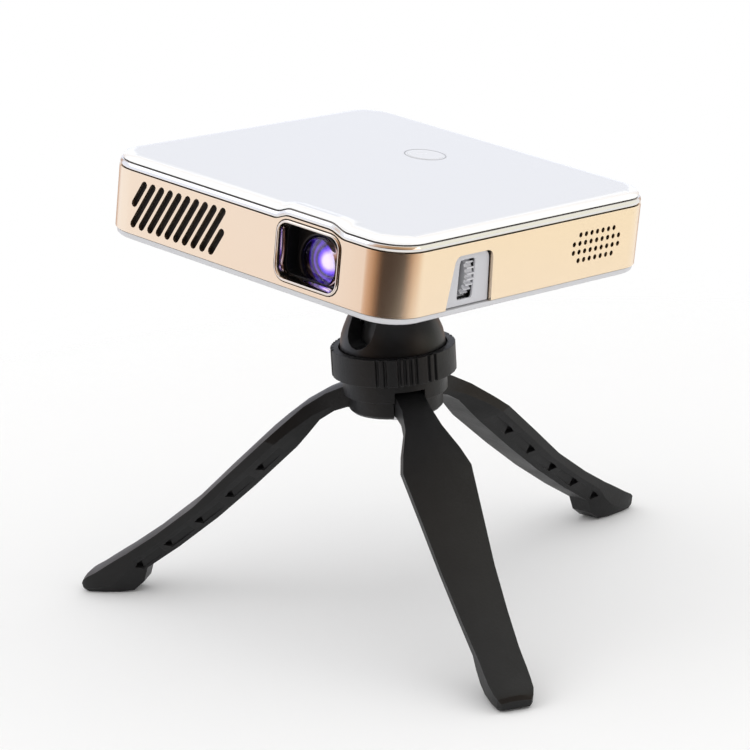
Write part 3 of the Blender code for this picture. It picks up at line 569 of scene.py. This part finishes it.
refinished("power_button", 0.15, satin_black, "black_plastic", "button")
SIGN_ACROSS, SIGN_BACK, SIGN_UP = 32, 56.5, 9.2
BAR_UP, GAP_FROM = 10.4, 10.1
sign_white = finish("sign_white", (0.75, 0.75, 0.75), 0.5, grain=1500, depth=0.00001, strength=0.2)
sign = started(
    "power_sign", "torus", (SIGN_ACROSS, SIGN_BACK, SIGN_UP), flat=(1, 1, 0.5), major_radius=1.5,
    minor_radius=0.16, major_segments=48, minor_segments=8, rotation=(math.radians(90), 0, 0),
)
edit(
    sign, chosen=lambda corner: corner.co.z > GAP_FROM and abs(corner.co.x - SIGN_ACROSS) < 0.6
)
bpy.ops.mesh.delete(type="VERT")
bpy.ops.mesh.select_all(action="SELECT")
bpy.ops.mesh.fill_holes(sides=0)
leave()
bar = started(
    "power_sign_bar", "cube", (SIGN_ACROSS, SIGN_BACK, BAR_UP), size=1, scale=(0.3, 0.16, 1.3)
)
applied(sign, "BOOLEAN", operation="UNION", object=bar)
bpy.data.objects.remove(bar)
smoothed(sign, 50)
clothed(seated(sign), sign_white, "white_gloss", "button")


# ---------------------------------------------------------------- inside the case
# The optical block, its lamp and heat sink, the fan, the focus train, the battery and the boards.
# They are seen only through the vents and the slot, and each is finished as its real one is.

cast_grey = finish("cast_grey", (0.3, 0.3, 0.31), 0.55, 0.6, grain=700, depth=0.0001, strength=0.5)
milled_aluminium = finish(
    "milled_aluminium", (0.72, 0.73, 0.75), 0.3, 1.0, grain=2600, depth=0.00001, strength=0.2
)
turned_brass = finish(
    "turned_brass", (0.78, 0.58, 0.28), 0.25, 1.0, grain=2000, depth=0.00001, strength=0.2
)
natural_nylon = finish(
    "natural_nylon", (0.74, 0.73, 0.69), 0.5, grain=1300, depth=0.00003, strength=0.3
)
board_green = finish(
    "board_green", (0.03, 0.16, 0.07), 0.4, grain=500, depth=0.00005, strength=0.4, patches=300
)
cell_wrap = finish("cell_wrap", (0.06, 0.14, 0.38), 0.3, grain=600, depth=0.00004, strength=0.3)
for material, names in (
    (cast_grey, ("optical_engine",)),
    (milled_aluminium, ("led_module", "heat_sink")),
    (turned_brass, ("focus_ring", "tripod_insert")),
    (natural_nylon, ("idler_gear", "ball_seat")),
    (board_green, ("main_board", "touch_board")),
    (cell_wrap, ("battery_pack",)),
    (plated_steel, ("gear_bracket", "focus_axle", "idler_axle")),
    (satin_black, ("fan_housing", "fan_rotor", "speaker")),
):
    for node in names:
        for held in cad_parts[node].material_slots:
            held.material = material


# ---------------------------------------------------------------- ball and mounting plate
# The ball, its stem and the round plate are one black moulding over a steel core. A rubber pad is
# glued on the plate, and the steel camera stud stands up through it into the projector.

refinished("ball_stem", 0.25, satin_black, "tripod_satin", "ball", sharp=25, smooth=45)
refinished("rubber_pad", 0.2, foot_rubber, "rubber", "ball", smooth=50)
refinished("mount_stud", 0.15, plated_steel, "steel", "ball", sharp=30)


# ---------------------------------------------------------------- dome and lock ring
# The dome closes over the ball and has one deep notch for the stem. The ribbed ring below it screws
# down on the hub and squeezes the ball; both are injection moulded in black nylon.

dome_black = finish(
    "dome_black", (0.006, 0.006, 0.0064), 0.36, grain=1500, depth=0.00003, strength=0.3,
    sheen=0.05, edge=(0.05, 0.05, 0.05), wear=0.35,
)
tripod_black = finish(
    "tripod_black", (0.006, 0.006, 0.0064), 0.46, grain=1100, depth=0.00009, strength=0.55,
    sheen=0.06, patches=90, edge=(0.05, 0.05, 0.05), wear=0.4, tone=0.12,
)
for moulded in (dome_black, tripod_black):
    moulded.node_tree.nodes["Principled BSDF"].inputs["Specular IOR Level"].default_value = 0.32
refinished("ball_dome", 0.4, dome_black, "tripod_satin", "head", sharp=25, segments=3, smooth=45)
refinished("lock_ring", 0.25, tripod_black, "tripod_plastic", "ring", sharp=30)


# ---------------------------------------------------------------- hub
# The hub is a black moulding with three slots, one for each leg, with a steel pin across each. A cap
# and a pan-head screw close it from below.

refinished("tripod_hub", 0.3, tripod_black, "tripod_plastic", "hub", sharp=30)
refinished("hub_cap", 0.2, satin_black, "tripod_satin", "hub", sharp=30)
for node in ("hub_screw", "leg_pin_1", "leg_pin_2", "leg_pin_3"):
    refinished(node, 0.2, plated_steel, "steel", "hub")


# ---------------------------------------------------------------- legs
# Three hollow-backed nylon legs, each swung on its pin. Below the shoulder the sides draw in to a
# narrow underside, and five pockets in each side save plastic.

# The middle of a leg's side below its shoulder: reach from the hub's axis, half width, height.
SIDE_LINE = (
    (31.8, 7.6, 47.7), (44.9, 6.8, 36.0), (57.0, 6.0, 25.6), (69.6, 5.35, 16.1), (79.8, 4.9, 8.4)
)
# The way a side runs from its outer edge to the underside: inwards, towards the middle, down.
SIDE_FALL = (-4.5, -3.4, -2.7)
POCKETS = (39.7, 49.7, 59.8, 70.0, 79.6)
NEARBY = 3


def side_point(reach):
    """The point on the middle of a leg's side at this reach."""
    for low, high in zip(SIDE_LINE, SIDE_LINE[1:]):
        if reach <= high[0]:
            share = (reach - low[0]) / (high[0] - low[0])
            return Vector(low).lerp(Vector(high), share)
    return Vector(SIDE_LINE[-1])


def shifted(made, chosen, by):
    """Moves the chosen corners of a piece."""
    edit(made, chosen=chosen)
    bpy.ops.transform.translate(value=by)
    leave()


# A pocket is a long scoop, deepest along its upper edge, that ends in a small three-sided hole.
# Both are set out with x down the leg, y towards its underside and z out of its side.
SCOOP_MIDDLE = -4.4
scoop = started("pocket_scoop", "cube", (SCOOP_MIDDLE, 0, 0), size=1, scale=(9.6, 2.8, 2.0))
shifted(scoop, lambda corner: corner.co.z < 0 and corner.co.x < SCOOP_MIDDLE, (0, 0, 0.35))
shifted(scoop, lambda corner: corner.co.z < 0 and corner.co.y > 0, (0, 0, 0.6))
hole = started("pocket_hole", "cylinder", (0, -0.3, 0), radius=1.75, depth=3.4, vertices=3)

for number, body, heading in ((1, "leg_one", 210), (2, "leg_two", 330), (3, "leg_three", 90)):
    leg = welded(f"leg_{number}")
    swing = Matrix.Translation((0, BALL.y, 0)) @ Matrix.Rotation(math.radians(heading), 4, "Z")
    swing = swing @ Matrix.Scale(MM, 4)
    for side in (-1, 1):
        for reach in POCKETS:
            here = side_point(reach)
            along = (side_point(reach + NEARBY) - side_point(reach - NEARBY)).normalized()
            fall = Vector(SIDE_FALL)
            here.y *= side
            along.y *= side
            fall.y *= side
            down = (fall - along * fall.dot(along)).normalized()
            out = along.cross(down)
            if out.y * side < 0:
                out = -out
            basis = Matrix((along, down, out)).transposed().to_4x4()
            for shape in (scoop, hole):
                cutter = shape.copy()
                cutter.data = shape.data.copy()
                bpy.context.scene.collection.objects.link(cutter)
                cutter.data.transform(swing @ Matrix.Translation(here) @ basis)
                if basis.determinant() < 0:
                    cutter.data.flip_normals()
                cut(leg, cutter)
    broken(leg, 0.3, 22)
    smoothed(leg, 40)
    clothed(leg, tripod_black, "tripod_plastic", body, f"leg_{number}")
bpy.data.objects.remove(scoop)
bpy.data.objects.remove(hole)


# ---------------------------------------------------------------- floor, light and camera
# A pale floor and soft studio light: bright all round, and for the mirror-like surfaces a dark
# zone in front and a warm one behind, which the metal shows at its corners.

FLOOR_RADIUS = 0.4
FADE_FROM, FADE_TO = 0.2, 0.36
floor_white = bpy.data.materials.new("floor_white")
floor_white.use_nodes = True
floor_tree = floor_white.node_tree
floor_shader = floor_tree.nodes["Principled BSDF"]
floor_shader.inputs["Base Color"].default_value = (0.93, 0.93, 0.93, 1.0)
floor_shader.inputs["Roughness"].default_value = 0.9
from_middle = reckon_vectors(floor_tree, "LENGTH", own_place(floor_tree))
thin_out = spread(floor_tree, from_middle, FADE_FROM, FADE_TO, 1.0, 0.0, "SMOOTHSTEP")
floor_tree.links.new(thin_out, floor_shader.inputs["Alpha"])
bpy.ops.object.select_all(action="DESELECT")
bpy.ops.mesh.primitive_circle_add(
    vertices=96, radius=FLOOR_RADIUS, fill_type="NGON", location=(0, 0, -0.2 * MM)
)
floor = bpy.context.object
floor.name = "studio_floor"
floor.data.materials.append(floor_white)

# The tones from the room's back, past its white middle, to the dark zone in front.
ROOM_FRONT = (0.68, -0.70, -0.2)
ROOM_TONES = (
    (0.03, (0.95, 0.96, 0.98)),
    (0.06, (0.58, 0.4, 0.29)),
    (0.09, (0.66, 0.48, 0.37)),
    (0.15, (1.0, 1.0, 1.0)),
    (0.56, (1.0, 1.0, 1.0)),
    (0.62, (0.74, 0.52, 0.39)),
    (0.78, (0.5, 0.31, 0.2)),
    (0.87, (0.22, 0.12, 0.075)),
    (0.93, (0.03, 0.013, 0.008)),
    (1.0, (0.03, 0.013, 0.008)),
)
COOL_SIDE = (1.0, 1.03, 1.14, 1.0)
WARM_SIDE = (1.02, 1.0, 0.86, 1.0)
PLAIN_WHITE = (1.0, 1.0, 1.0, 1.0)
world = bpy.data.worlds.new("studio")
bpy.context.scene.world = world
world.use_nodes = True
sky = world.node_tree
direction = sky.nodes.new("ShaderNodeTexCoord").outputs["Generated"]
towards = reckon_vectors(sky, "DOT_PRODUCT", direction, ROOM_FRONT)
room = tones(sky, spread(sky, towards, -1.0, 1.0), ROOM_TONES)
sides = sky.nodes.new("ShaderNodeSeparateXYZ")
sky.links.new(direction, sides.inputs[0])
warmth = blend(sky, spread(sky, sides.outputs["X"], -0.6, 0.6), COOL_SIDE, WARM_SIDE)
tinted = blend(sky, 1.0, room, warmth, "MULTIPLY")
mirrored = sky.nodes.new("ShaderNodeLightPath").outputs["Is Glossy Ray"]
background = sky.nodes["Background"]
sky.links.new(blend(sky, mirrored, PLAIN_WHITE, tinted), background.inputs["Color"])
background.inputs["Strength"].default_value = 1.0

LAMPS_AIM = Vector((0, 0, 0.08))
for name, spot, size, power, tint in (
    ("key", (-0.9, -0.7, 1.3), 0.9, 1.5, (1.0, 0.98, 0.97)),
    ("top", (0.2, 0.5, 1.6), 1.2, 1.0, (1.0, 1.0, 1.0)),
    ("side", (1.5, 0.5, 0.5), 0.7, 1.5, (1.0, 0.97, 0.88)),
):
    lamp = bpy.data.lights.new(name, "AREA")
    lamp.size = size
    lamp.energy = power
    lamp.color = tint
    lit = bpy.data.objects.new(name, lamp)
    lit.location = spot
    lit.rotation_euler = (LAMPS_AIM - Vector(spot)).to_track_quat("-Z", "Y").to_euler()
    bpy.context.scene.collection.objects.link(lit)

view = bpy.data.cameras.new("camera")
view.sensor_width = 36
view.lens = 163.92
view.clip_end = 20
camera = bpy.data.objects.new("camera", view)
camera.location = (0.65369, -0.69957, 0.3446)
camera.rotation_euler = (math.radians(73.568), math.radians(3.338), math.radians(43.337))
bpy.context.scene.collection.objects.link(camera)
bpy.context.scene.camera = camera
bpy.context.scene.view_settings.view_transform = "Standard"
